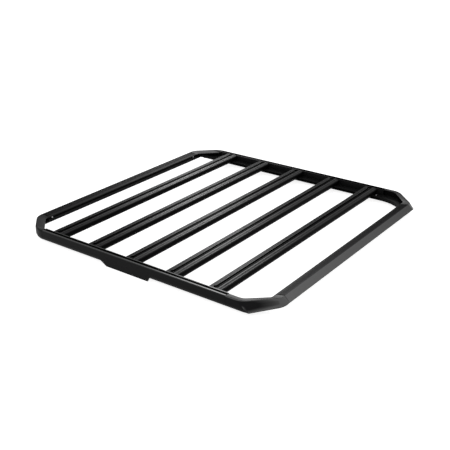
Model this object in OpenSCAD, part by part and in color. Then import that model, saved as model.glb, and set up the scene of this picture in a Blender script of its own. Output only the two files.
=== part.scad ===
// Flat platform roof rack: an open frame of black extruded aluminium.
// Two side rails, a front rail with a sloped face and an upright rear rail meet in four
// chamfered corner pieces.
// Five slats with a T-slot along the top lie on an inner ledge of the side rails.
// Millimetres, +Z up, the front of the rack towards -Y, the right-hand side at -X.
// Z = 0 is the underside of the two side plates that hang below the side rails.

/* [Overall] */
// Width over the outer faces of the side rails
rack_w = 1250; // [1000:10:1500]
// Length from the lower lip of the front rail to the outer face of the rear rail
rack_l = 1234; // [1100:2:2000]

/* [Side rails] */
// Height of a side rail
rail_h = 41.5; // [38:0.5:60]
// Wall thickness of the side rails
rail_wall = 2.5; // [1.8:0.1:3]
// Radius of the upper outer edge
rail_round = 5; // [3:0.5:8]
// Width of the smooth strip outside the upper slot
rail_strip = 11.5; // [10:0.5:16]
// Width of the lip inside the upper slot
rail_inner_lip = 5.5; // [5:0.5:9]
// Width of the ledge that carries the slats
ledge_w = 32; // [26:1:45]
// How far the lower outer face curves in at the bottom
tuck = 5; // [2:0.5:8]
// Height over which the lower outer face curves in
tuck_h = 15; // [10:0.5:18]

/* [T-slots] */
// Width of the mouth of every slot
mouth = 9; // [6:0.5:9.5]
// Thickness of the lips beside a mouth
slot_lip = 3; // [2:0.25:4]
// Height of the wide part under the lips
cavity_h = 7; // [5:0.5:8]
// Width of the wide part of a slat's slot
slat_cavity_w = 17; // [14:0.5:20]
// Width of the openings through which bolts enter a side rail's slot
entry_w = 13; // [11:0.5:14]
// Length of those openings
entry_l = 20; // [16:1:30]
// From the slot of the first and the last slat inwards to those openings
entry_in = 28; // [24:1:60]

/* [Slats] */
// Height of a slat
slat_h = 25.5; // [22:0.5:27]
// Wall thickness of the slats
slat_wall = 2.2; // [1.6:0.1:3]
// From the middle of the slot back to the rear edge
slat_back = 24; // [20:0.5:30]
// From the middle of the slot forward to the nose
slat_front = 34; // [28:0.5:40]
// How far the nose stands out past the top and bottom faces
nose = 5; // [3:0.5:8]
// How far the front half of the wide strip falls towards the nose
slat_fall = 1.4; // [0:0.1:2.2]
// From the end of a side rail to the slot of the nearest slat
slat_margin = 65; // [50:1:120]
// Diameter of the opening at each end of a slat's slot
pocket_d = 18; // [12:1:20]
// From the end of a slat to the middle of that opening
pocket_in = 11; // [10:0.5:20]

/* [Ribs] */
// Distance from one groove to the next in the ribbed faces
rib_pitch = 2.5; // [2:0.1:4]
// Width of the grooves
groove_w = 1; // [0.6:0.1:1.4]
// Depth of the grooves
groove_depth = 0.5; // [0.2:0.1:0.8]

/* [Front and rear rails] */
// Width of the front rail's top, from the ridge to the inner edge
front_top_w = 36.5; // [32:0.5:50]
// Width of the rear rail's top
rear_top_w = 41.5; // [36:0.5:50]
// Fall of both tops from the outer to the inner edge
end_top_drop = 6.5; // [3:0.5:8]
// Radius of the front rail's ridge
ridge_round = 2; // [1.5:0.25:3]
// Width of the smooth strip along the inner edge of the top
end_strip = 8.5; // [5:0.5:12]
// Height of the rails
end_h = 31.5; // [31:0.5:35]
// How far the front rail's sloped face reaches past the ridge
fascia_run = 20; // [14:0.5:26]
// Fall of the sloped face
fascia_drop = 18.5; // [15:0.5:20]
// How far the sloped face bulges
fascia_bulge = 0.6; // [0:0.1:2]
// How far the lip under the sloped face stands out
lip_out = 1; // [0.5:0.1:1.5]
// Height of that lip
lip_h = 4; // [3:0.5:6]
// Wall thickness of the end rails
end_wall = 2.5; // [1.8:0.1:3]
// From the top of the inner face down to its slot
end_slot_down = 4; // [3:0.25:5]
// Width of the mouth of that slot
end_mouth = 8; // [6:0.5:9]
// How far the wide part of the slot reaches above its mouth, and below it
end_lip_above = 1.5; // [1:0.25:2]
end_lip_below = 2; // [1:0.25:2.5]
// Length of the cut in the top beside each corner piece
end_gap = 4; // [2:0.5:8]
// From the outer edge to that cut, and from the cut to the inner edge
end_gap_in = 5; // [4:0.5:10]

/* [Corner pieces] */
// Length cut off each front corner by its chamfer
front_chamfer = 100; // [85:1:110]
// Length cut off each rear corner
rear_chamfer = 93; // [85:1:110]
// From the start of the chamfer along the side to the front end of a side rail
corner_front_leg = 64; // [50:1:140]
// From the start of the chamfer along the side to the rear end of a side rail
corner_rear_leg = 41; // [35:1:120]
// From the end of a front chamfer to the front rail
corner_end_leg = 22; // [20:1:60]
// Bend radius between the side and a front chamfer
front_side_r = 66; // [40:1:80]
// The same radius at the foot of the face
front_foot_r = 20; // [15:1:60]
// Bend radius between a front chamfer and the front
front_end_r = 30; // [24:1:44]
// Bend radius between the side and a rear chamfer
rear_side_r = 92; // [50:1:110]
// Bend radius between a rear chamfer and the rear
rear_end_r = 58; // [30:1:64]
// Bend radius of the inner edges
corner_inner_r = 20; // [8:1:24]
// Bend radius of the front corners' ledge beside the side rail
front_ledge_r = 150; // [40:5:160]
// Bend radius of the rear corners' ledge beside the side rail
rear_ledge_r = 20; // [15:1:22]
// Share of the end rail's height that a front corner has where its chamfer ends, and a rear one
front_share = 0.65; // [0.5:0.05:0.9]
rear_share = 0.5; // [0.4:0.05:0.9]
// Width of the top where it meets the side rail
corner_top_w = 21.5; // [18:0.5:24]
// Width of the top along a front chamfer
front_chamfer_top_w = 21.5; // [20:0.5:33]
// Width of the top along a rear chamfer
rear_chamfer_top_w = 38; // [32:0.5:40]
// Fall of the top at the start of a front chamfer, from the outer to the inner edge
front_chamfer_drop = 2; // [0:0.5:9]
// Fall of the top at the start of a rear chamfer
rear_chamfer_drop = 7; // [3:0.5:9]
// Radius of the upper outer edge along a front chamfer
chamfer_round = 3; // [2:0.25:5]
// How far the outer face slopes out at the start of a front chamfer
chamfer_out = 16; // [8:0.5:19]
// Width of the ledge along a front chamfer, from the upper outer edge
front_ledge_w = 38; // [34:0.5:39]
// Width of the ledge along a rear chamfer
rear_ledge_w = 14; // [14:0.5:30]
// Wall thickness of the corner pieces
corner_wall = 3; // [2:0.25:3.5]

/* [Side plates] */
// Length of a side plate along its top
plate_l = 267; // [180:1:400]
// How far a side plate hangs below its rail
plate_drop = 14; // [8:0.5:30]
// Length of the slant at the rear end of a plate
plate_rear_slant = 46; // [10:1:70]
// Length of the slant at the front end of a plate
plate_front_slant = 14; // [4:1:40]
// From the middle of the rail to the middle of the plate's top
plate_shift = 15; // [-60:1:60]
// Thickness of the plate below the rail
plate_t = 5; // [3:0.5:8]

/* [Hidden] */

black = "#2b2b2d";
black_plastic = "#333336";

// Cuts reach this far past a face
past = 1;
// Clearance between the end of a slat and the side rail
slat_gap = 1;
// Smooth margin beside a ribbed field
rib_margin = 1.5;
// A side plate ends this far below the top of the curved foot of its rail
plate_edge = 1.5;
slats = 5;

z_top = plate_drop + rail_h;
// Width of the tall part of a side rail, from the outer face to the ledge
head_w = rail_strip + mouth + rail_inner_lip;
rail_foot_w = head_w + ledge_w;
ledge_h = rail_h - slat_h;
rail_slot_u = rail_strip + mouth / 2;
rail_cavity_w = 2 * (rail_inner_lip + mouth / 2 - rail_wall);

// Distances of the front rail's ridge and the rear rail's outer face from the middle
ridge_y = rack_l / 2 - fascia_run - lip_out;
rear_y = rack_l / 2;
rail_front_y = -ridge_y + front_chamfer + corner_front_leg;
rail_rear_y = rear_y - rear_chamfer - corner_rear_leg;
rail_l = rail_rear_y - rail_front_y;
rail_mid_y = (rail_front_y + rail_rear_y) / 2;
end_rail_l = rack_w - 2 * (front_chamfer + corner_end_leg);

pitch = (rail_l - 2 * slat_margin) / (slats - 1);
slat_l = rack_w - 2 * (head_w + slat_gap);

// Radius and sweep of the curve at the foot of a side rail's outer face
tuck_r = (tuck_h * tuck_h + tuck * tuck) / (2 * tuck);
tuck_a = asin(tuck_h / tuck_r);

function slat_y(i) = rail_rear_y - slat_margin - (i - 1) * pitch;

// Points on an arc round c, from angle a0 to a1, in n steps
function arc(c, r, a0, a1, n) =
    [for (i = [0:n]) let (a = a0 + (a1 - a0) * i / n) c + r * [cos(a), sin(a)]];

// Corners of the grooves in a flat field that runs from point a to point b.
// The grooves lie to the right of the way from a to b, in the middle of the field.
function grooves(a, b) = let (
    span = norm(b - a),
    along = (b - a) / span,
    down = [along[1], -along[0]] * groove_depth,
    n = floor((span - 2 * rib_margin - groove_w) / rib_pitch) + 1,
    first = (span - groove_w - (n - 1) * rib_pitch) / 2
) [for (i = [0:n - 1]) let (p = a + along * (first + i * rib_pitch), q = p + along * groove_w)
    for (corner = [p, p + down, q + down, q]) corner];

// Centre and points of a round edge of radius r, where two faces would meet at 0,0 and their
// outward normals point at angles a0 and a1. The points are moved in by a wall t.
function round_edge(a0, a1, r, t) = let (
    n0 = [cos(a0), sin(a0)],
    n1 = [cos(a1), sin(a1)]
) arc(-r * (n0 + n1) / (1 + n0 * n1), max(r - t, 0.5), a0, a1, 3);

// Outer face of a side rail, from its foot to the upper slot, moved in by t
function rail_face(t) = concat(
    arc([tuck_r, tuck_h], tuck_r - t, 180 + tuck_a, 180, 4),
    arc([rail_round, rail_h - rail_round], max(rail_round - t, 0.5), 180, 90, 5));

// A slot with a mouth between two lips, opening along +Y of the sketch
module slot_cut(cavity_w) {
    translate([-mouth / 2, -slot_lip - past])
        square([mouth, slot_lip + 2 * past]);
    translate([-cavity_w / 2, -slot_lip - cavity_h])
        square([cavity_w, cavity_h]);
}

// Section of a side rail: 0,0 is below its outer face, +X of the sketch points inwards
module side_rail_section() {
    slot_floor = rail_h - slot_lip - cavity_h;
    slot_end = rail_foot_w - slot_lip;
    ledge_cavity = ledge_h - 2 * rail_wall;
    ledge_mouth = ledge_cavity - slot_lip;
    difference() {
        polygon(concat(rail_face(0), [
            [head_w, rail_h], [head_w, ledge_h], [rail_foot_w, ledge_h], [rail_foot_w, 0]
        ]));
        translate([rail_slot_u, rail_h])
            slot_cut(rail_cavity_w);
        intersection() {
            polygon(concat(rail_face(rail_wall), [[head_w, rail_h], [head_w, 0]]));
            translate([0, rail_wall])
                square([head_w - rail_wall, slot_floor - 2 * rail_wall]);
        }
        translate([head_w, rail_wall])
            square([ledge_w - slot_lip - cavity_h - rail_wall, ledge_cavity]);
        translate([slot_end - cavity_h, rail_wall])
            square([cavity_h, ledge_cavity]);
        translate([slot_end - past, (ledge_h - ledge_mouth) / 2])
            square([slot_lip + 2 * past, ledge_mouth]);
    }
}

// Widened part of a side rail's slot, with round ends
module entry_cut() {
    reach = (entry_l - entry_w) / 2;
    for (s = [-reach, reach])
        translate([0, s, 0])
            cylinder(h = slot_lip + 2 * past, d = entry_w, $fn = 48);
    translate([-entry_w / 2, -reach, 0])
        cube([entry_w, 2 * reach, slot_lip + 2 * past]);
}

module side_rail() {
    color(black)
        difference() {
            translate([-rack_w / 2, rail_rear_y, plate_drop])
                rotate([90, 0, 0])
                    linear_extrude(rail_l)
                        side_rail_section();
            for (y = [slat_y(1) - entry_in, slat_y(slats) + entry_in])
                translate([-rack_w / 2 + rail_slot_u, y, z_top - slot_lip - past])
                    entry_cut();
        }
}

// Sections of the end rails and the corner pieces are drawn in one sketch: X is the distance
// outwards from the upper outer edge, Y the height over the top. t moves their points in by a
// wall.
// Upright outer face that curves in at its foot, from the inner edge of the top to that of the
// bottom
function upright(top_w, drop, r, h, foot_w, t) = let (deep = tuck_h - h) concat(
    [[-top_w, -drop - t]],
    round_edge(90 + atan(drop / top_w), 0, r, t),
    [for (k = [1 / 3, 2 / 3]) [-t, -r + (deep + r) * k]],
    [for (p = arc([-tuck_r, deep], tuck_r, 0, -tuck_a * 2 / 3, 2)) p - [t, 0]],
    [[-tuck - t, t - h], [-foot_w, t - h]]);

function rear_at_end(t) = upright(rear_top_w, end_top_drop, rail_round, end_h, rear_top_w, t);

function ridge(t) =
    round_edge(90 + atan(end_top_drop / front_top_w), atan(fascia_run / fascia_drop), ridge_round, t);

// Sloped face of the front rail, its lip and its foot
function fascia(t) = let (
    bow = fascia_bulge / sqrt(2),
    lean = atan(fascia_run / fascia_drop),
    in = t * [cos(lean), sin(lean)],
    slope = [fascia_run, -fascia_drop],
    lip = slope + [lip_out, -lip_out],
    lip_foot = [fascia_run + lip_out / 2, -fascia_drop - lip_h],
    foot = [0.4 * fascia_run, -end_h]
) t == 0 ? [slope / 3 + [bow, bow], slope * 2 / 3 + [bow, bow], slope, lip, lip_foot, foot] :
    [slope / 3 - in, slope * 2 / 3 - in, slope - [t, t], foot + [-t / 2, t]];

function front_at_end(t) = concat(
    [[-front_top_w, -end_top_drop - t]],
    ridge(t),
    fascia(t),
    [[-front_top_w, t - end_h]]);

// Section of an end rail with its slot in the inner face. The outer and inner outlines run from
// the upper outer edge to the foot.
module end_rail_section(top_w, edge_r, outer, inner) {
    mouth_top = end_top_drop + end_slot_down;
    cavity_top = mouth_top - end_lip_above;
    cavity_bottom = mouth_top + end_mouth + end_lip_below;
    slot_depth = slot_lip + cavity_h;
    hollow = top_w - slot_depth - end_wall;
    slope = [-1, -end_top_drop / top_w];
    difference() {
        polygon(concat(outer, [[-top_w, -end_h], [-top_w, -end_top_drop]],
            grooves(slope * (top_w - end_strip), slope * edge_r)));
        translate([-top_w - past, -mouth_top - end_mouth])
            square([slot_lip + 2 * past, end_mouth]);
        translate([-top_w + slot_lip, -cavity_bottom])
            square([cavity_h, cavity_bottom - cavity_top]);
        polygon(concat(inner, [[-hollow, -end_h + end_wall], slope * hollow - [0, end_wall]]));
        translate([-top_w + end_wall, -end_h + end_wall])
            square([slot_depth - end_wall, end_h - cavity_bottom - 2 * end_wall]);
    }
}

// Cuts a section to the length of an end rail, with its outer edge y away from the middle
module end_rail(y, top_w) {
    color(black)
        translate([-end_rail_l / 2, -y, z_top])
            difference() {
                rotate([90, 0, 90])
                    linear_extrude(end_rail_l)
                        mirror([1, 0])
                            children();
                for (x = [-past, end_rail_l - end_gap])
                    translate([x, end_gap_in, -end_top_drop])
                        cube([end_gap + past, top_w - 2 * end_gap_in, end_top_drop + past]);
            }
}

module front_rail() {
    end_rail(ridge_y, front_top_w)
        end_rail_section(front_top_w, ridge_round, concat(ridge(0), fascia(0)),
            concat([[0, -1.4 * end_wall]], fascia(end_wall)));
}

module rear_rail() {
    mirror([0, 1, 0])
        end_rail(rear_y, rear_top_w)
            end_rail_section(rear_top_w, rail_round, [for (i = [1:10]) rear_at_end(0)[i]],
                [for (i = [1:10]) rear_at_end(end_wall)[i]]);
}

// Outlines of the corner pieces where they meet the side rail, at the start of a rear chamfer
// and at the start of a front one, whose face leans out
function corner_at_side(t) = upright(corner_top_w, 0, rail_round, rail_h, rail_foot_w, t);

function rear_at_chamfer(t) =
    upright(rear_chamfer_top_w, rear_chamfer_drop, rail_round, rail_h, rear_ledge_w, t);

function front_at_chamfer(t) = let (
    face = [chamfer_out, lip_h / 2 - rail_h],
    lean = atan(-face[0] / face[1]),
    in = t * [cos(lean), sin(lean)]
) concat(
    [[-front_chamfer_top_w, -front_chamfer_drop - t]],
    round_edge(90 + atan(front_chamfer_drop / front_chamfer_top_w), lean, chamfer_round, t),
    [for (k = [1 / 3, 2 / 3]) face * k - in],
    [face, face + [lip_out, -lip_out], [chamfer_out + lip_out / 2, -rail_h],
        [chamfer_out / 2, -rail_h], [-front_ledge_w, -rail_h]]);

// Inside of a corner piece: the top and the face of an outline moved in by the wall, then the
// top of the ledge, from a distance x0 to its inner edge
function inside(moved, x0, w) = concat(
    [for (i = [0:6]) moved[i]],
    [for (k = [0:4]) [x0 - (w + x0) * k / 4, ledge_h - rail_h]]);

side_inside = inside(corner_at_side(corner_wall), -corner_wall, rail_foot_w);

// Line along a corner piece, seen from above in distances from the middle of the rack. It runs
// at a beside the middle, at e before it and where both add up to s along the chamfer, from the
// side rail at y0 to the end rail.
function corner_line(a, s, e, y0, r_side, r_end) = let (
    x0 = end_rail_l / 2,
    t = tan(22.5),
    r1 = max(corner_inner_r, r_side),
    r2 = max(corner_inner_r, r_end),
    q1 = min(r1, 0.95 * (s - a - y0) / t),
    q2 = min(r2, 0.95 * (s - e - x0) / t),
    b1 = [a - q1, s - a - q1 * t] + q1 * [cos(45), sin(45)],
    b2 = [s - e - q2 * t, e - q2] + q2 * [cos(45), sin(45)]
) concat(
    [[a, y0]],
    [for (i = [0:6]) let (h = 45 * i / 6) [a - q1, s - a - q1 * t] + q1 * [cos(h), sin(h)]],
    [for (k = [0.25, 0.5, 0.75]) b1 + (b2 - b1) * k],
    [for (i = [0:5]) let (h = 45 + 45 * i / 5) [s - e - q2 * t, e - q2] + q2 * [cos(h), sin(h)]],
    [[x0, e]]);

// Shares of the chamfer section and the end section at each point of a corner line. The end
// section's share is m where the chamfer ends.
function corner_shares(m) = concat(
    [[0, 0]],
    [for (i = [0:6]) let (t = i / 6) [t * t * (3 - 2 * t), 0]],
    [for (k = [0.25, 0.5, 0.75]) [1 - m * k, m * k]],
    [for (i = [0:5]) let (k = m + (1 - m) * i / 5) [1 - k, k]],
    [[0, 1]]);

// Corner piece at the front right-hand corner: a section that changes as it goes round the bend.
// sections holds it at the side, the chamfer and the end, first its outline and then its inside.
// Each point of the section follows a line of its own, with its own radii.
module corner(sections, share, edge_y, cut, rail_y, side_r, foot_r, end_r, ledge_r) {
    k = len(sections[0][0]);
    m = 2 * k;
    shares = corner_shares(share);
    last = len(shares) - 1;
    loop = concat([for (j = [0:k - 1]) [0, j]], [for (j = [k - 1:-1:0]) [1, j]]);
    lines = [for (e = loop) let (side = sections[e[0]][0][e[1]], mid = sections[e[0]][1][e[1]],
        end = sections[e[0]][2][e[1]]) let (path = corner_line(
            rack_w / 2 + side[0],
            rack_w / 2 + edge_y - cut + mid[0] * sqrt(2),
            edge_y + end[0],
            rail_y,
            e[1] == k - 1 ? ledge_r : side_r + side[0] - (side_r - foot_r) * mid[1] / -rail_h,
            end_r + end[0]))
        [for (i = [0:len(path) - 1]) let (c = shares[i][0], d = shares[i][1])
            [-path[i][0], -path[i][1], z_top + side[1] * (1 - c - d) + mid[1] * c + end[1] * d]]];
    skin = [for (i = [0:last - 1]) for (j = [0:m - 1])
        let (a = i * m + j, b = i * m + (j + 1) % m)
            for (t = [[a, b, b + m], [a, b + m, a + m]]) t];
    caps = [for (j = [0:k - 2]) for (t = [
        [j, m - 1 - j, j + 1],
        [j + 1, m - 1 - j, m - 2 - j],
        [last * m + j, last * m + j + 1, last * m + m - 1 - j],
        [last * m + j + 1, last * m + m - 2 - j, last * m + m - 1 - j]
    ]) t];
    color(black_plastic)
        polyhedron([for (i = [0:last]) for (j = [0:m - 1]) lines[j][i]], concat(skin, caps));
}

module front_corner() {
    at_chamfer = inside(front_at_chamfer(corner_wall),
        chamfer_out * (rail_h - ledge_h) / rail_h - 1.2 * corner_wall, front_ledge_w);
    at_end = inside(front_at_end(corner_wall), 0.6 * fascia_run, front_top_w);
    corner([
            [corner_at_side(0), front_at_chamfer(0), front_at_end(0)],
            [side_inside, at_chamfer, at_end]
        ],
        front_share, ridge_y, front_chamfer, -rail_front_y, front_side_r, front_foot_r, front_end_r,
        front_ledge_r);
}

module rear_corner() {
    at_chamfer = inside(rear_at_chamfer(corner_wall), -corner_wall, rear_ledge_w);
    at_end = inside(rear_at_end(corner_wall), -2 * corner_wall, rear_top_w);
    mirror([0, 1, 0])
        corner([
                [corner_at_side(0), rear_at_chamfer(0), rear_at_end(0)],
                [side_inside, at_chamfer, at_end]
            ],
            rear_share, rear_y, rear_chamfer, rail_rear_y, rear_side_r, rear_side_r, rear_end_r,
            rear_ledge_r);
}

// Section of a slat: 0,0 is the bottom below the middle of its slot, +X points forwards
module slat_section() {
    edge = slat_front - nose;
    side = slat_cavity_w / 2 + slat_wall;
    cell_h = slat_h - slot_lip - cavity_h - 2 * slat_wall;
    ribbed_end = edge - 2 * rib_margin;
    brow = max((mouth / 2 + ribbed_end) / 2, side);
    low = slat_h - slat_fall;
    difference() {
        polygon(concat(
            [[-slat_back + 2, 0], [-slat_back, 3], [-slat_back, slat_h - 1.5],
                [-slat_back + rib_margin, slat_h]],
            grooves([-slat_back + rib_margin, slat_h], [-mouth / 2, slat_h]),
            grooves([mouth / 2, slat_h], [brow, slat_h]),
            [[brow, slat_h]],
            grooves([brow, slat_h], [ribbed_end, low]),
            [[edge - 1, low], [slat_front - 0.4 * nose, low - 2],
                [slat_front - 0.1 * nose, 0.75 * slat_h], [slat_front, 0.55 * slat_h],
                [slat_front - 0.1 * nose, 0.35 * slat_h], [edge, 0]]
        ));
        translate([0, slat_h])
            slot_cut(slat_cavity_w);
        translate([-slat_back + slat_wall, slat_wall])
            square([slat_back - slat_wall - side, slat_h - 2 * slat_wall]);
        translate([-slat_cavity_w / 2, slat_wall])
            square([slat_cavity_w, cell_h]);
        polygon([
            [side, slat_wall], [side, slat_h - slat_wall], [brow, slat_h - slat_wall],
            [edge - rib_margin, low - slat_wall],
            [slat_front - slat_wall - 0.15 * nose, 0.75 * slat_h - 0.5],
            [slat_front - slat_wall, 0.55 * slat_h],
            [slat_front - slat_wall - 0.15 * nose, 0.35 * slat_h],
            [edge - slat_wall, slat_wall]
        ]);
    }
}

module slat(i) {
    color(black)
        translate([-slat_l / 2, slat_y(i), z_top - slat_h])
            difference() {
                rotate([90, 0, 90])
                    linear_extrude(slat_l)
                        mirror([1, 0])
                            slat_section();
                for (x = [pocket_in, slat_l - pocket_in])
                    translate([x, 0, slat_h - slot_lip - past])
                        cylinder(h = slot_lip + 2 * past, d = pocket_d, $fn = 48);
            }
}

// Side plate: its back follows the curve at the foot of the rail's outer face
module side_plate() {
    top = plate_drop + tuck_h - plate_edge;
    top_a = 180 + asin(plate_edge / tuck_r);
    front_y = rail_mid_y + plate_shift - plate_l / 2;
    rear_y = front_y + plate_l;
    back = [for (p = arc([tuck_r, tuck_h], tuck_r, top_a, 180 + tuck_a, 5)) p + [0, plate_drop]];
    color(black)
        intersection() {
            translate([-rack_w / 2, rear_y, 0])
                rotate([90, 0, 0])
                    linear_extrude(plate_l)
                        polygon(concat([[0, 0], [0, top]], back, [[plate_t, plate_drop], [plate_t, 0]]));
            translate([-rack_w / 2 - past, 0, 0])
                rotate([90, 0, 90])
                    linear_extrude(plate_t + 2 * past)
                        polygon([
                            [front_y, top], [rear_y, top],
                            [rear_y - plate_rear_slant, 0], [front_y + plate_front_slant, 0]
                        ]);
        }
}

side_rail();  // side_rail_right
mirror([1, 0, 0]) side_rail();  // side_rail_left
front_rail();
rear_rail();
front_corner();  // corner_front_right
mirror([1, 0, 0]) front_corner();  // corner_front_left
rear_corner();  // corner_rear_right
mirror([1, 0, 0]) rear_corner();  // corner_rear_left
slat(1);  // slat_1
slat(2);  // slat_2
slat(3);  // slat_3
slat(4);  // slat_4
slat(5);  // slat_5
side_plate();  // side_plate_right
mirror([1, 0, 0]) side_plate();  // side_plate_left
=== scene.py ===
import math

import bpy
import numpy as np
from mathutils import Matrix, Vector


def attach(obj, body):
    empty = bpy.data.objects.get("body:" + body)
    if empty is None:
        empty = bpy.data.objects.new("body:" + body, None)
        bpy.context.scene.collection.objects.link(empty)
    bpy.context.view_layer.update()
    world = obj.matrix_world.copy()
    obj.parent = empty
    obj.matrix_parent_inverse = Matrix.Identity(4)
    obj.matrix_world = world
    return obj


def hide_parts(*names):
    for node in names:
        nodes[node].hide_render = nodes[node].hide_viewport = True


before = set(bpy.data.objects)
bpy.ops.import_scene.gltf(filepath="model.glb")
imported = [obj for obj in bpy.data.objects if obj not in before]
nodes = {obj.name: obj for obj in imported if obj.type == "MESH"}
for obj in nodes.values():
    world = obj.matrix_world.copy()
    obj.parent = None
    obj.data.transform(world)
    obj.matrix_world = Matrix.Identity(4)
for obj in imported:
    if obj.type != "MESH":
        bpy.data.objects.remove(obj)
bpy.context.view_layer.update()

# Side rails: two mirrored aluminium extrusions with a bolt slot along the top, powder coated
# in satin black. The die lines of the drawn metal show through the coat and stretch the light
# across the rail. The lips of the slot are painted dark and their reflection is turned down,
# as painted shade.
rail_black = (0.007, 0.007, 0.0073)
satin = 0.36
rail_slot_x = 0.609
lip_reach = 0.012
rail_lip_shade = ((0.17, 1), (0.22, 0.05), (0.78, 0.05), (0.83, 1))


def powder_coat(name, colour, roughness, sheen, clouding=0.08):
    """Satin coat: colour * (1 - clouding to 1 + clouding) and roughness - 0.02 to + 0.02, both
    led by one soft noise, and an orange peel 4 micrometres high from a fine noise. sheen is
    the specular level where nothing else sets it."""
    mat = bpy.data.materials.new(name)
    mat.use_nodes = True
    tree = mat.node_tree
    link = tree.links.new
    shader = tree.nodes["Principled BSDF"]
    shader.inputs["Specular IOR Level"].default_value = sheen
    place = tree.nodes.new("ShaderNodeTexCoord")
    cloud = tree.nodes.new("ShaderNodeTexNoise")
    cloud.inputs["Scale"].default_value = 14
    cloud.inputs["Detail"].default_value = 4
    link(place.outputs["Object"], cloud.inputs["Vector"])
    tone = tree.nodes.new("ShaderNodeMix")
    tone.name = "tone"
    tone.data_type = "RGBA"
    tone.inputs["A"].default_value = (*[c * (1 - clouding) for c in colour], 1)
    tone.inputs["B"].default_value = (*[c * (1 + clouding) for c in colour], 1)
    link(cloud.outputs["Fac"], tone.inputs["Factor"])
    link(tone.outputs["Result"], shader.inputs["Base Color"])
    drift = tree.nodes.new("ShaderNodeMapRange")
    drift.inputs["To Min"].default_value = roughness - 0.02
    drift.inputs["To Max"].default_value = roughness + 0.02
    link(cloud.outputs["Fac"], drift.inputs["Value"])
    link(drift.outputs["Result"], shader.inputs["Roughness"])
    peel = tree.nodes.new("ShaderNodeTexNoise")
    peel.inputs["Scale"].default_value = 900
    peel.inputs["Detail"].default_value = 2
    link(place.outputs["Object"], peel.inputs["Vector"])
    bump = tree.nodes.new("ShaderNodeBump")
    bump.inputs["Strength"].default_value = 0.06
    bump.inputs["Distance"].default_value = 0.000004
    link(peel.outputs["Fac"], bump.inputs["Height"])
    link(bump.outputs["Normal"], shader.inputs["Normal"])
    return mat


def curve(tree, value, stops):
    """Curve with straight runs between stops, each a pair of place and height."""
    ramp = tree.nodes.new("ShaderNodeValToRGB")
    marks = ramp.color_ramp.elements
    while len(marks) < len(stops):
        marks.new(0.5)
    for mark, (place, height) in zip(marks, stops):
        mark.position = place
        mark.color = (height, height, height, 1)
    tree.links.new(value, ramp.inputs["Fac"])
    return ramp.outputs["Color"]


def stretch(tree, value, span, low, high):
    """Straight change from low to high while value crosses the span, level outside it."""
    node = tree.nodes.new("ShaderNodeMapRange")
    node.inputs["From Min"].default_value, node.inputs["From Max"].default_value = span
    node.inputs["To Min"].default_value, node.inputs["To Max"].default_value = low, high
    tree.links.new(value, node.inputs["Value"])
    return node.outputs["Result"]


def combine(tree, operation, a, b):
    """One sum of two values, each an output of a node or a plain number."""
    node = tree.nodes.new("ShaderNodeMath")
    node.operation = operation
    for value, socket in zip((a, b), node.inputs):
        if isinstance(value, float):
            socket.default_value = value
        else:
            tree.links.new(value, socket)
    return node.outputs[0]


def painted_sheen_by_facing(mat, painted_gloss):
    """Specular level = painted_gloss(Z of the normal): a painted sheen, which gives each face
    more or less reflection by the way it faces, as light falls on it."""
    tree = mat.node_tree
    up = tree.nodes.new("ShaderNodeSeparateXYZ")
    up.name = "up"
    tree.links.new(tree.nodes.new("ShaderNodeNewGeometry").outputs["Normal"], up.inputs[0])
    level = curve(tree, up.outputs["Z"], painted_gloss)
    tree.links.new(level, tree.nodes["Principled BSDF"].inputs["Specular IOR Level"])
    return level


def paint_shade_and_sheen(mat, painted_gloss, upright_shade=1.0, slot=None, painted_end_sheen=1.0):
    """Painted shade and sheen: specular level = painted_gloss(Z of the normal) * painted_dimming,
    and colour = colour * painted_dimming * side, where side is a painted shade that goes from
    upright_shade on upright faces to 1 on tops. Beside a slot, painted_dimming = lip(distance
    across it), painted shade and dulled reflection on the lips of the slot, and slot holds the
    axis across, one slot's place, their pitch and the lip's curve. Without a slot,
    painted_dimming goes from 1 at the right-hand end to painted_end_sheen at the other, a
    painted sheen and shade that fade along the piece."""
    tree = mat.node_tree
    link = tree.links.new
    shader = tree.nodes["Principled BSDF"]
    level = painted_sheen_by_facing(mat, painted_gloss)
    at = tree.nodes.new("ShaderNodeSeparateXYZ")
    link(tree.nodes.new("ShaderNodeTexCoord").outputs["Object"], at.inputs[0])
    if slot:
        axis, centre, pitch, lip = slot
        nearest = combine(tree, "WRAP", at.outputs[axis], centre - pitch / 2)
        nearest.node.inputs[2].default_value = centre + pitch / 2
        off = combine(tree, "SUBTRACT", nearest, centre)
        painted_dimming = curve(tree, stretch(tree, off, (-lip_reach, lip_reach), 0.0, 1.0), lip)
    else:
        painted_dimming = stretch(tree, at.outputs["X"], (-0.5, 0.5), 1.0, painted_end_sheen)
    link(combine(tree, "MULTIPLY", level, painted_dimming), shader.inputs["Specular IOR Level"])
    if upright_shade < 1:
        side = stretch(tree, tree.nodes["up"].outputs["Z"], (0.0, 0.7), upright_shade, 1.0)
        painted_dimming = combine(tree, "MULTIPLY", side, painted_dimming)
    shade = tree.nodes.new("ShaderNodeMix")
    shade.data_type = "RGBA"
    shade.inputs["A"].default_value = (0, 0, 0, 1)
    link(painted_dimming, shade.inputs["Factor"])
    link(tree.nodes["tone"].outputs["Result"], shade.inputs["B"])
    link(shade.outputs["Result"], shader.inputs["Base Color"])


def drawn(mat, axis):
    """Die lines along the axis: it is the tangent, and the highlight spreads across it."""
    tree = mat.node_tree
    shader = tree.nodes["Principled BSDF"]
    along = tree.nodes.new("ShaderNodeCombineXYZ")
    along.inputs[axis].default_value = 1
    tree.links.new(along.outputs[0], shader.inputs["Tangent"])
    shader.inputs["Anisotropic"].default_value = 0.7
    shader.inputs["Anisotropic Rotation"].default_value = 0.25


def coat(names, mat):
    """Gives the named extrusions and plates this coat alone."""
    for n in names:
        nodes[n].data.materials.clear()
        nodes[n].data.materials.append(mat)


# Painted sheen: the right rail's top gets a strong specular level and the left's a faint one, as lit and
# shaded copies of one coat.
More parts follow.
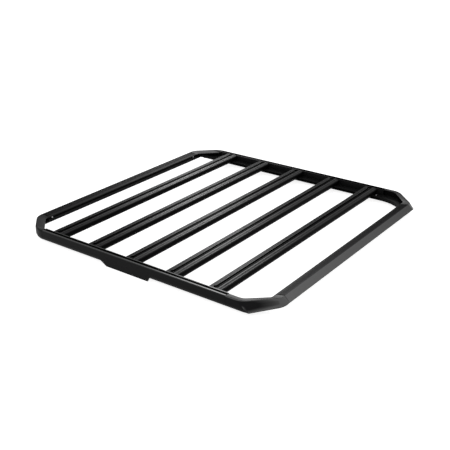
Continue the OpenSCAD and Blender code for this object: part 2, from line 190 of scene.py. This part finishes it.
for side, sx, painted_top_sheen in (("right", -1, 0.24), ("left", 1, 0.02)):
    rail_coat = powder_coat(f"rail_coat_{side}", rail_black, satin, painted_top_sheen)
    paint_shade_and_sheen(rail_coat, ((0, 0.05), (0.3, 0.05), (0.8, painted_top_sheen), (1, painted_top_sheen)),
           slot=("X", rail_slot_x * sx, 4.0, rail_lip_shade))
    drawn(rail_coat, 1)
    coat([f"side_rail_{side}"], rail_coat)

# Slats: five aluminium extrusions with a bolt slot along the top and fine ribs on both sides
# of it, coated as the rails are. Their ends lie on the ledges of the side rails and are
# screwed down through the round openings at the ends of the slots.
slat_black = (0.006, 0.006, 0.0063)
middle_slat_y = 0.0175
slat_pitch = 0.19625
slat_lip_shade = ((0.05, 0.62), (0.12, 1), (0.29, 1), (0.32, 0.1), (0.83, 0.05), (0.87, 0.62))
slat_coat = powder_coat("slat_coat", slat_black, satin, 0.07)
# Painted shade: the lips of the slot are darkened and dulled and the upright faces are painted darker than
# the tops, which carry a painted sheen.
paint_shade_and_sheen(slat_coat, ((0, 0.012), (0.5, 0.03), (0.8, 0.07), (1, 0.07)), upright_shade=0.55,
       slot=("Y", middle_slat_y, slat_pitch, slat_lip_shade))
drawn(slat_coat, 0)
coat([f"slat_{i}" for i in range(1, 6)], slat_coat)

# Front rail: an aluminium extrusion with a ribbed top that falls inwards, a smooth strip along
# its inner edge, a bolt slot in the inner face and a sloped fascia with a thin lip below. Its
# colour is painted lighter than the other black pieces, the fascia carries a painted sheen and
# shade that fade from one end to the other, and the upright faces are painted darker as shade.
fascia_lit_black = (0.036, 0.036, 0.0363)
front_coat = powder_coat("end_rail_coat", fascia_lit_black, satin, 0.01)
paint_shade_and_sheen(front_coat, ((0, 0.08), (0.4, 0.3), (0.66, 0.9), (0.8, 0.9), (0.95, 0.01)),
       upright_shade=0.5, painted_end_sheen=0.3)
drawn(front_coat, 0)
coat(["front_rail"], front_coat)

# Rear rail: an aluminium extrusion with an upright outer face and a wider ribbed top, in the
# same coat, a little rougher.
end_black = (0.008, 0.008, 0.0083)
rear_coat = powder_coat("rear_rail_coat", end_black, 0.5, 0.03)
# Painted sheen: the specular level is set by which way each face turns, a little higher on upright faces
# than on the top.
painted_sheen_by_facing(rear_coat, ((0, 0.05), (0.95, 0.03)))
drawn(rear_coat, 0)
coat(["rear_rail"], rear_coat)

# Side plates: folded aluminium plates that hang below the side rails, where the rack is
# clamped to the roof brackets.
plate_coat = powder_coat("plate_coat", rail_black, satin, 0.05)
coat(["side_plate_right", "side_plate_left"], plate_coat)

# Corner pieces: moulded black plastic, one at each corner, pushed onto the ends of the rails.
# The section changes as it goes round the bend, from the side rail's to the end rail's, and a
# narrow groove is left where each end meets its rail.
# Painted sheen: the specular level follows which way each face turns, strong on the leaning faces of the
# front pieces and faint on the rear pieces.
front_moulding = powder_coat("front_moulding", end_black, 0.38, 0.055, clouding=0.04)
painted_sheen_by_facing(front_moulding, ((0, 0.04), (0.42, 0.05), (0.5, 0.5),
                                 (0.55, 1.0), (0.85, 1.0), (0.95, 0.055)))
rear_moulding = powder_coat("rear_moulding", end_black, 0.42, 0.025, clouding=0.04)
painted_sheen_by_facing(rear_moulding, ((0, 0.05), (0.9, 0.05), (0.97, 0.025)))

mm = 0.001
z_top = 55.5
half_w = 625.0
end_x = 503.0
rail_h = 41.5
end_h = 31.5
ledge_h = 16.0
ledge_w = 58.0
corner_wall = 3.0
foot_curve_r, foot_curve_h = 25.0, 15.0
foot_curve_a = math.asin(foot_curve_h / foot_curve_r)
groove_w, groove_deep = 1.0, 1.4
side_top_w = 21.5
edge_r = 5.0


def arc(centre, r, a0, a1, n):
    """n points centre + r * (cos a, sin a) with a from a0 to a1, in radians."""
    a = np.linspace(a0, a1, n)
    return np.array(centre) + r * np.column_stack((np.cos(a), np.sin(a)))


def round_edge(a0, a1, r, t):
    """Arc of radius r - t between two faces whose normals point at a0 and a1 and would meet
    at 0,0. Its centre lies at -r * (n0 + n1) / (1 + n0 . n1)."""
    n0, n1 = np.array([math.cos(a0), math.sin(a0)]), np.array([math.cos(a1), math.sin(a1)])
    return arc(-r * (n0 + n1) / (1 + n0 @ n1), max(r - t, 0.5), a0, a1, 9)


def upright(top_w, drop, r, h, foot_w, t=0.0):
    """Section with an upright face that curves in at its foot: X outwards, Y up, from the
    inner edge of the top to the inner edge of the bottom, moved in by t."""
    bend = foot_curve_h - h
    face = [[-t, -r + (bend + r) * k] for k in (1 / 3, 2 / 3)]
    foot = arc((-foot_curve_r, bend), foot_curve_r, 0, -foot_curve_a, 10) - [t, 0]
    return np.vstack(([[-top_w, -drop - t]], round_edge(math.pi / 2 + math.atan(drop / top_w), 0, r, t),
                      face, foot, [[-foot_w, t - h]]))


def leaning(top_w, drop, r, face, lip, foot, foot_w, t=0.0):
    """Section with a face that leans out to a lip: face, lip and foot hold the points below
    the upper edge, and the points between them are filled in on straight lines."""
    lean = math.atan2(face[0], -face[1])
    shift = t * np.array([math.cos(lean), math.sin(lean)])
    slope = [np.array(face) * k - shift for k in (1 / 3, 2 / 3)]
    way = np.array([face, lip[0], lip[1], foot], float)
    k = np.linspace(0, 3, 10)
    low = np.column_stack([np.interp(k, range(4), way[:, i]) for i in (0, 1)])
    return np.vstack(([[-top_w, -drop - t]], round_edge(math.pi / 2 + math.atan(drop / top_w), lean, r, t),
                      slope, low, [[-foot_w, foot[1]]]))


def hollow(section, sizes, x0, w):
    """The section with its inner side: the wall moved in, then the top of the ledge from x0 to
    its inner edge w."""
    outer, moved = section(*sizes), section(*sizes, corner_wall)
    k = np.linspace(0, 1, 11)
    ledge = np.column_stack((x0 - (w + x0) * k, np.full(11, ledge_h - rail_h)))
    return np.vstack((outer, np.vstack((moved[:12], ledge))[::-1]))


def quads(rows, n):
    """Faces of a grid of rows rings with n points each, closed round the ring."""
    i, j = np.meshgrid(np.arange(rows - 1), np.arange(n), indexing="ij")
    k = (j + 1) % n
    return np.stack((i * n + j, i * n + k, (i + 1) * n + k, (i + 1) * n + j), 2).reshape(-1, 4)


def riding(name, p, faces, mat, sharp):
    """Mesh from points in mm and faces, smooth up to the sharp angle, carried by the rack."""
    mesh = bpy.data.meshes.new(name)
    mesh.from_pydata((p.reshape(-1, 3) * mm).tolist(), [], faces)
    mesh.materials.append(mat)
    mesh.shade_smooth()
    mesh.set_sharp_from_angle(angle=math.radians(sharp))
    piece = bpy.data.objects.new(name, mesh)
    bpy.context.collection.objects.link(piece)
    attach(piece, "root")
    return piece


def corner_skin(name, sections, share, edge_y, cut, rail_y, radii, ledge_r, sx, sy, mat):
    """Loft round a corner. Each point of the section follows its own line in plan: straight
    along the side at x = a, an arc of radius r1, the chamfer x + y = s, an arc of radius r2,
    straight along the end at y = e. Its height is side * (1 - c - d) + mid * c + end * d,
    where c rises over the first arc and gives way to d over the chamfer and the second."""
    side_r, foot_r, end_r = radii
    side, mid, end = sections
    m = len(side)
    last = m // 2 - 1
    a = half_w + side[:, 0]
    s = half_w + edge_y - cut + mid[:, 0] * math.sqrt(2)
    e = edge_y + end[:, 0]
    t = math.tan(math.pi / 8)
    r1 = side_r + side[:, 0] - (side_r - foot_r) * mid[:, 1] / -rail_h
    r1[[last, last + 1]] = ledge_r
    r1 = np.minimum(np.maximum(20, r1), 0.95 * (s - a - rail_y) / t)
    r2 = np.minimum(np.maximum(20, end_r + end[:, 0]), 0.95 * (s - e - end_x) / t)
    n1, n2, n3 = 20, 9, 18
    h1 = np.radians(np.linspace(0, 45, n1))[:, None]
    h2 = np.radians(np.linspace(45, 90, n3))[:, None]
    k = np.linspace(0, 1, n2 + 2)[1:-1, None]
    bend1 = np.stack((a - r1 + r1 * np.cos(h1), s - a - r1 * t + r1 * np.sin(h1)))
    bend2 = np.stack((s - e - r2 * t + r2 * np.cos(h2), e - r2 + r2 * np.sin(h2)))
    chamfer = bend1[:, -1:] + (bend2[:, :1] - bend1[:, -1:]) * k
    first = np.stack((a, np.full(m, rail_y)))[:, None]
    final = np.stack((np.full(m, end_x), e))[:, None]
    lead = first + (bend1[:, :1] - first) * np.linspace(0, 1, 5)[1:-1, None]
    trail = bend2[:, -1:] + (final - bend2[:, -1:]) * np.linspace(0, 1, 4)[1:-1, None]
    groove = np.array([groove_w, groove_w + 0.001])
    groove1 = first + np.stack((0 * groove, groove))[:, :, None]
    groove2 = final + np.stack((groove, 0 * groove))[:, ::-1, None]
    plan = np.concatenate((first, groove1, lead, bend1, chamfer, bend2, trail, groove2, final), 1)
    u = np.linspace(0, 1, n1)
    v = share + (1 - share) * np.linspace(0, 1, n3)
    c = np.concatenate((np.zeros(6), u * u * (3 - 2 * u), 1 - share * k[:, 0], 1 - v, np.zeros(5)))[:, None]
    d = np.concatenate((np.zeros(6 + n1), share * k[:, 0], v, np.ones(5)))[:, None]
    z = z_top + side[:, 1] * (1 - c - d) + mid[:, 1] * c + end[:, 1] * d
    p = np.stack((plan[0], plan[1], z), 2)
    for rows, way in (([1, 0], (0, 1, 0)), ([-2, -1], (-1, 0, 0))):
        ring = p[rows[0]]
        inwards = np.cross(way, np.roll(ring, -1, 0) - np.roll(ring, 1, 0))
        inwards /= np.linalg.norm(inwards, axis=1)[:, None] + 1e-9
        inwards[last + 1:] = 0
        p[rows] += inwards * groove_deep
    p *= (sx, sy, 1)
    j = np.arange(last)
    near_cap = np.stack((j, m - 1 - j, m - 2 - j, j + 1), 1)
    far_cap = np.stack((j, j + 1, m - 2 - j, m - 1 - j), 1) + (len(p) - 1) * m
    faces = np.vstack((quads(len(p), m), near_cap, far_cap))
    if sx * sy < 0:
        faces = faces[:, ::-1]
    return riding(name, p, faces.tolist(), mat, 28)


side_end = hollow(upright, (side_top_w, 0, edge_r, rail_h, ledge_w), -corner_wall, ledge_w)
slope = (16, -39.5)
front_bend = hollow(leaning, (side_top_w, 2, 3, slope, ((17, -40.5), (16.5, -rail_h)), (8, -rail_h), 38),
                    slope[0] * (rail_h - ledge_h) / rail_h - 3.6, 38)
fascia_end = hollow(leaning, (36.5, 6.5, 2, (20, -18.5), ((21, -19.5), (20.5, -22.5)), (8, -end_h), 36.5),
                    12, 36.5)
rear_bend = hollow(upright, (38, 7, edge_r, rail_h, 14), -corner_wall, 14)
rear_end = hollow(upright, (41.5, 6.5, edge_r, end_h, 41.5), -2 * corner_wall, 41.5)
for side, sx in (("right", -1), ("left", 1)):
    front = corner_skin(f"front_corner_{side}", (side_end, front_bend, fascia_end), 0.65,
                        596.0, 100.0, 432.0, (66, 20, 30), 150, sx, -1, front_moulding)
    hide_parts(f"corner_front_{side}")
    rear = corner_skin(f"rear_corner_{side}", (side_end, rear_bend, rear_end), 0.5,
                       617.0, 93.0, 483.0, (92, 92, 58), 20, sx, 1, rear_moulding)
    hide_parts(f"corner_rear_{side}")

# Screws and bolts: black socket screws in the end openings of the slats, and zinc-plated
# bolts that hold the corner pieces, in the ledge beside the front slat and in the slot of
# the rear rail.
slat_screws_y = (418, 221.75, 25.5, -170.75, -367)
black_steel = powder_coat("black_steel", (0.01, 0.01, 0.011), 0.45, 0.5)
zinc = powder_coat("zinc_plate", (0.42, 0.42, 0.43), 0.35, 0.5)
zinc.node_tree.nodes["Principled BSDF"].inputs["Metallic"].default_value = 1.0


def socket_head(name, place, axis, r, h, mat):
    """Turned head: the profile (r, h) of its foot, round shoulder, flat top and socket is
    swept round the axis, place + r * (cos a, sin a) + h * axis, and closed at both ends."""
    socket = r * 0.45
    profile = np.array([(r, 0), (r, h * 0.6), (r * 0.93, h * 0.85), (r * 0.8, h),
                        (socket, h), (socket, h * 0.4)])
    n = 24
    a = np.linspace(0, 2 * math.pi, n, endpoint=False)[:, None]
    axis = np.array(axis, float)
    u = np.cross(axis, (0.3, 0.9, 0.31))
    u /= np.linalg.norm(u)
    ring = np.cos(a) * u + np.sin(a) * np.cross(axis, u)
    p = np.array(place) + profile[:, 0][:, None, None] * ring + profile[:, 1][:, None, None] * axis
    foot = list(range(n))[::-1]
    floor_of_socket = list(range((len(p) - 1) * n, len(p) * n))
    return riding(name, p, quads(len(p), n).tolist() + [foot, floor_of_socket], mat, 30)


for i, y in enumerate(slat_screws_y, 1):
    for side, sx in (("right", -1), ("left", 1)):
        socket_head(f"slat_screw_{i}_{side}", (sx * 587, y, 45.5), (0, 0, 1), 6.0, 5.0, black_steel)
for side, sx in (("right", -1), ("left", 1)):
    socket_head(f"ledge_bolt_{side}", (sx * 581, -407, 30), (0, 0, 1), 4.0, 2.6, zinc)
    socket_head(f"rear_bolt_{side}", (sx * 482, 580, 41), (0, -1, 0), 3.8, 3.0, zinc)

# Floor: a wide white sheet. The camera and the rack's own reflections see it as near white,
# and the part of it that isn't lit by itself takes the rack's shadow.
half_floor = 12
floor_mesh = bpy.data.meshes.new("floor")
floor_corners = np.array([(-1, -1, 0), (1, -1, 0), (1, 1, 0), (-1, 1, 0)]) * half_floor
floor_mesh.from_pydata(floor_corners.tolist(), [], [(0, 1, 2, 3)])
floor = bpy.data.objects.new("floor", floor_mesh)
bpy.context.collection.objects.link(floor)
paper = bpy.data.materials.new("studio_floor")
paper.use_nodes = True
tree = paper.node_tree
tree.nodes.clear()
out = tree.nodes.new("ShaderNodeOutputMaterial")
matt = tree.nodes.new("ShaderNodeBsdfDiffuse")
matt.inputs["Color"].default_value = (0.6, 0.6, 0.6, 1)
glow = tree.nodes.new("ShaderNodeEmission")
glow.inputs["Strength"].default_value = 0.85
bright = tree.nodes.new("ShaderNodeAddShader")
tree.links.new(matt.outputs[0], bright.inputs[0])
tree.links.new(glow.outputs[0], bright.inputs[1])


def seen_white(tree, plain, white):
    """Shows the white shader to the camera and to rays that a piece reflects or lets through,
    and the plain one to all other light."""
    path = tree.nodes.new("ShaderNodeLightPath").outputs
    seen = combine(tree, "MAXIMUM", path["Is Camera Ray"], path["Is Glossy Ray"])
    mix = tree.nodes.new("ShaderNodeMixShader")
    tree.links.new(combine(tree, "MAXIMUM", seen, path["Is Transmission Ray"]), mix.inputs["Fac"])
    tree.links.new(plain, mix.inputs[1])
    tree.links.new(white, mix.inputs[2])
    return mix.outputs[0]


tree.links.new(seen_white(tree, matt.outputs[0], bright.outputs[0]), out.inputs["Surface"])
floor_mesh.materials.append(paper)

# Room: soft white light from all sides, which the camera and reflections see as plain white.
world = bpy.data.worlds.new("studio")
bpy.context.scene.world = world
world.use_nodes = True
tree = world.node_tree
tree.nodes.clear()
out = tree.nodes.new("ShaderNodeOutputWorld")
room = tree.nodes.new("ShaderNodeBackground")
room.inputs["Color"].default_value = (1, 1, 1, 1)
room.inputs["Strength"].default_value = 0.8
backdrop = tree.nodes.new("ShaderNodeBackground")
backdrop.inputs["Color"].default_value = (1, 1, 1, 1)
tree.links.new(seen_white(tree, room.outputs[0], backdrop.outputs[0]), out.inputs["Surface"])

# Lamp: one square softbox high behind the rack, whose reflection runs across the slats.
softbox = bpy.data.lights.new("back_light", "AREA")
softbox.shape = "RECTANGLE"
softbox.size, softbox.size_y = 1.0, 1.0
softbox.energy = 230
lamp = bpy.data.objects.new("back_light", softbox)
bpy.context.collection.objects.link(lamp)
lamp.location = (5.9, 4.25, 4.0)
lamp.rotation_mode = "QUATERNION"
lamp.rotation_quaternion = (-lamp.location).to_track_quat("-Z", "Y")

# Camera: in front of the rack on its right-hand side, looking down on it.
camera = bpy.data.objects.new("camera", bpy.data.cameras.new("camera"))
bpy.context.collection.objects.link(camera)
camera.location = (-2.5414, -1.8325, 1.3745)
camera.rotation_mode = "QUATERNION"
camera.rotation_quaternion = Vector((0.738, 0.539, -0.406)).to_track_quat("-Z", "Y")
camera.data.lens = 63.43
camera.data.sensor_width = 36
bpy.context.scene.camera = camera
bpy.context.scene.view_settings.view_transform = "Standard"
